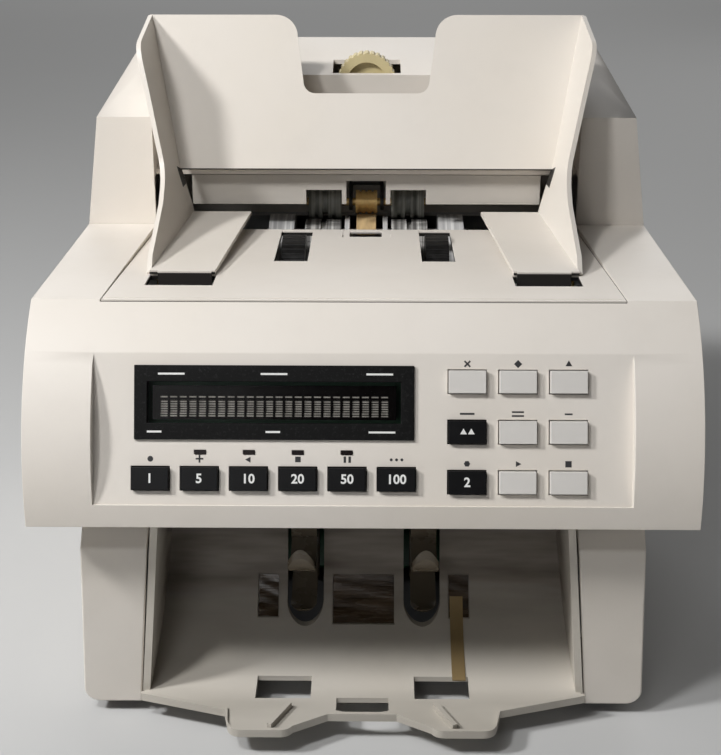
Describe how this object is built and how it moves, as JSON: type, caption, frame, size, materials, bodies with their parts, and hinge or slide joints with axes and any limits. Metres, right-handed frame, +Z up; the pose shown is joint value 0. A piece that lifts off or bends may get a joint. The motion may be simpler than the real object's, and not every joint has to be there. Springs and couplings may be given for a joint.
{
  "type": "banknote counting machine",
  "caption": "Table-top banknote counter with a hopper and feed wheels on top, a display and keys on the convex front, and an open pocket with stacker wheels below.",
  "frame": {"origin": "on the table under the middle of the machine's width, halfway between the front of the pocket's lip and the back screws", "axes": "+X to the machine's right seen from the front, +Y to the back, +Z up"},
  "size_m": [0.28, 0.2928, 0.279],
  "materials": {
    "housing": "satin",
    "hopper": "satin",
    "tray": "satin",
    "throat": "matte",
    "bezel": "satin",
    "lens": "gloss",
    "tube": "gloss",
    "board": "satin",
    "led": "gloss",
    "key_black": "satin",
    "key_grey": "satin",
    "steel": "brushed",
    "shaft": "polished",
    "roll": "satin",
    "band": "matte",
    "rubber": "matte",
    "brass": "satin",
    "guide": "satin",
    "black": "satin",
    "base": "satin",
    "motor": "satin",
    "putty": "satin",
    "thumb": "satin"
  },
  "bodies": {
    "machine": {"base_pan": "base", "side_plate_left": "steel", "side_plate_right": "steel", "pod_left": "housing", "pod_right": "housing", "rear_housing": "housing", "head_cover": "housing", "feed_deck": "hopper", "throat_wall": "throat", "hopper": "hopper", "pocket_tray": "tray", "static_strip": "brass", "display_bezel": "bezel", "display_lens": "lens", "display_tube": "tube", "control_board": "board", "led_lenses": "led", "curved_guide": "steel", "guide_plate": "steel", "scan_heads": "black", "main_motor": "motor", "stacker_motor": "motor", "timing_belts": "rubber", "power_supply": "steel", "main_board": "board", "power_inlet": "black", "rubber_feet": "rubber", "shaft_bushes": "brass", "cover_screws": "shaft"},
    "drum": {"drive_drum": "roll", "drum_bands": "band", "drum_shaft": "shaft"},
    "stripper": {"stripping_wheels": "rubber", "stripping_shaft": "shaft"},
    "transport": {"transport_rolls": "guide"},
    "pinch": {"passive_rolls": "guide"},
    "idler_arm": {"idler_bracket": "black"},
    "idler": {"idler_roll": "brass", "guide_wheels": "guide"},
    "main_drive": {"motor_pulley": "roll"},
    "stacker": {"stacker_wheels": "putty", "stacker_shaft": "shaft"},
    "stacker_drive": {"stacker_motor_pulley": "roll"},
    "adjuster": {"thumbwheel": "thumb"},
    "rocker": {"power_switch": "black"},
    "key_1_body": {"key_1": "key_black"},
    "key_5_body": {"key_5": "key_black"},
    "key_10_body": {"key_10": "key_black"},
    "key_20_body": {"key_20": "key_black"},
    "key_50_body": {"key_50": "key_black"},
    "key_100_body": {"key_100": "key_black"},
    "pad_key_a1_body": {"pad_key_a1": "key_grey"},
    "pad_key_a2_body": {"pad_key_a2": "key_black"},
    "pad_key_a3_body": {"pad_key_a3": "key_black"},
    "pad_key_b1_body": {"pad_key_b1": "key_grey"},
    "pad_key_b2_body": {"pad_key_b2": "key_grey"},
    "pad_key_b3_body": {"pad_key_b3": "key_grey"},
    "pad_key_c1_body": {"pad_key_c1": "key_grey"},
    "pad_key_c2_body": {"pad_key_c2": "key_grey"},
    "pad_key_c3_body": {"pad_key_c3": "key_grey"}
  },
  "joints": [
    {"name": "drum_turn", "type": "hinge", "parent": "machine", "child": "drum", "pos_m": [0, 0.0726, 0.149], "axis": [1, 0, 0], "continuous": true},
    {"name": "stripper_turn", "type": "hinge", "parent": "machine", "child": "stripper", "pos_m": [0, 0.0206, 0.1595], "axis": [1, 0, 0], "continuous": true},
    {"name": "transport_turn", "type": "hinge", "parent": "machine", "child": "transport", "pos_m": [0, 0.0146, 0.1298], "axis": [1, 0, 0], "continuous": true},
    {"name": "pinch_turn", "type": "hinge", "parent": "machine", "child": "pinch", "pos_m": [0, 0.0146, 0.111], "axis": [1, 0, 0], "continuous": true},
    {"name": "idler_arm_lift", "type": "hinge", "parent": "machine", "child": "idler_arm", "pos_m": [0, 0.0986, 0.194], "axis": [-1, 0, 0], "range_deg": [0, 6], "stiffness_Nm_per_rad": 1},
    {"name": "idler_turn", "type": "hinge", "parent": "idler_arm", "child": "idler", "pos_m": [0, 0.08166, 0.18281], "axis": [1, 0, 0], "continuous": true},
    {"name": "main_drive_turn", "type": "hinge", "parent": "machine", "child": "main_drive", "pos_m": [0, 0.0526, 0.05], "axis": [1, 0, 0], "continuous": true},
    {"name": "stacker_turn", "type": "hinge", "parent": "machine", "child": "stacker", "pos_m": [0, -0.0464, 0.066], "axis": [1, 0, 0], "continuous": true},
    {"name": "stacker_drive_turn", "type": "hinge", "parent": "machine", "child": "stacker_drive", "pos_m": [0, 0.0166, 0.04], "axis": [1, 0, 0], "continuous": true},
    {"name": "gap_adjust", "type": "hinge", "parent": "machine", "child": "adjuster", "pos_m": [0, 0.0961, 0.2434], "axis": [0, 1, 0], "range_deg": [-160, 160]},
    {"name": "power_rocker", "type": "hinge", "parent": "machine", "child": "rocker", "pos_m": [-0.083, 0.1366, 0.0335], "axis": [1, 0, 0], "range_deg": [-7, 7]},
    {"name": "key_1_press", "type": "slide", "parent": "machine", "child": "key_1_body", "axis": [0, 0.9272, -0.3746], "range_m": [0, 0.0012], "stiffness_N_per_m": 400},
    {"name": "key_5_press", "type": "slide", "parent": "machine", "child": "key_5_body", "axis": [0, 0.9272, -0.3746], "range_m": [0, 0.0012], "stiffness_N_per_m": 400},
    {"name": "key_10_press", "type": "slide", "parent": "machine", "child": "key_10_body", "axis": [0, 0.9272, -0.3746], "range_m": [0, 0.0012], "stiffness_N_per_m": 400},
    {"name": "key_20_press", "type": "slide", "parent": "machine", "child": "key_20_body", "axis": [0, 0.9272, -0.3746], "range_m": [0, 0.0012], "stiffness_N_per_m": 400},
    {"name": "key_50_press", "type": "slide", "parent": "machine", "child": "key_50_body", "axis": [0, 0.9272, -0.3746], "range_m": [0, 0.0012], "stiffness_N_per_m": 400},
    {"name": "key_100_press", "type": "slide", "parent": "machine", "child": "key_100_body", "axis": [0, 0.9272, -0.3746], "range_m": [0, 0.0012], "stiffness_N_per_m": 400},
    {"name": "pad_key_a1_press", "type": "slide", "parent": "machine", "child": "pad_key_a1_body", "axis": [0, 0.9272, -0.3746], "range_m": [0, 0.0012], "stiffness_N_per_m": 400},
    {"name": "pad_key_a2_press", "type": "slide", "parent": "machine", "child": "pad_key_a2_body", "axis": [0, 0.9272, -0.3746], "range_m": [0, 0.0012], "stiffness_N_per_m": 400},
    {"name": "pad_key_a3_press", "type": "slide", "parent": "machine", "child": "pad_key_a3_body", "axis": [0, 0.9272, -0.3746], "range_m": [0, 0.0012], "stiffness_N_per_m": 400},
    {"name": "pad_key_b1_press", "type": "slide", "parent": "machine", "child": "pad_key_b1_body", "axis": [0, 0.9272, -0.3746], "range_m": [0, 0.0012], "stiffness_N_per_m": 400},
    {"name": "pad_key_b2_press", "type": "slide", "parent": "machine", "child": "pad_key_b2_body", "axis": [0, 0.9272, -0.3746], "range_m": [0, 0.0012], "stiffness_N_per_m": 400},
    {"name": "pad_key_b3_press", "type": "slide", "parent": "machine", "child": "pad_key_b3_body", "axis": [0, 0.9272, -0.3746], "range_m": [0, 0.0012], "stiffness_N_per_m": 400},
    {"name": "pad_key_c1_press", "type": "slide", "parent": "machine", "child": "pad_key_c1_body", "axis": [0, 0.9272, -0.3746], "range_m": [0, 0.0012], "stiffness_N_per_m": 400},
    {"name": "pad_key_c2_press", "type": "slide", "parent": "machine", "child": "pad_key_c2_body", "axis": [0, 0.9272, -0.3746], "range_m": [0, 0.0012], "stiffness_N_per_m": 400},
    {"name": "pad_key_c3_press", "type": "slide", "parent": "machine", "child": "pad_key_c3_body", "axis": [0, 0.9272, -0.3746], "range_m": [0, 0.0012], "stiffness_N_per_m": 400}
  ],
  "couplings": [
    {"joint": "stripper_turn", "follows": "drum_turn", "ratio": 1},
    {"joint": "transport_turn", "follows": "drum_turn", "ratio": 1},
    {"joint": "main_drive_turn", "follows": "drum_turn", "ratio": 1.1429},
    {"joint": "pinch_turn", "follows": "drum_turn", "ratio": -2},
    {"joint": "idler_turn", "follows": "drum_turn", "ratio": -4.5968},
    {"joint": "stacker_drive_turn", "follows": "stacker_turn", "ratio": 1.7143}
  ]
}
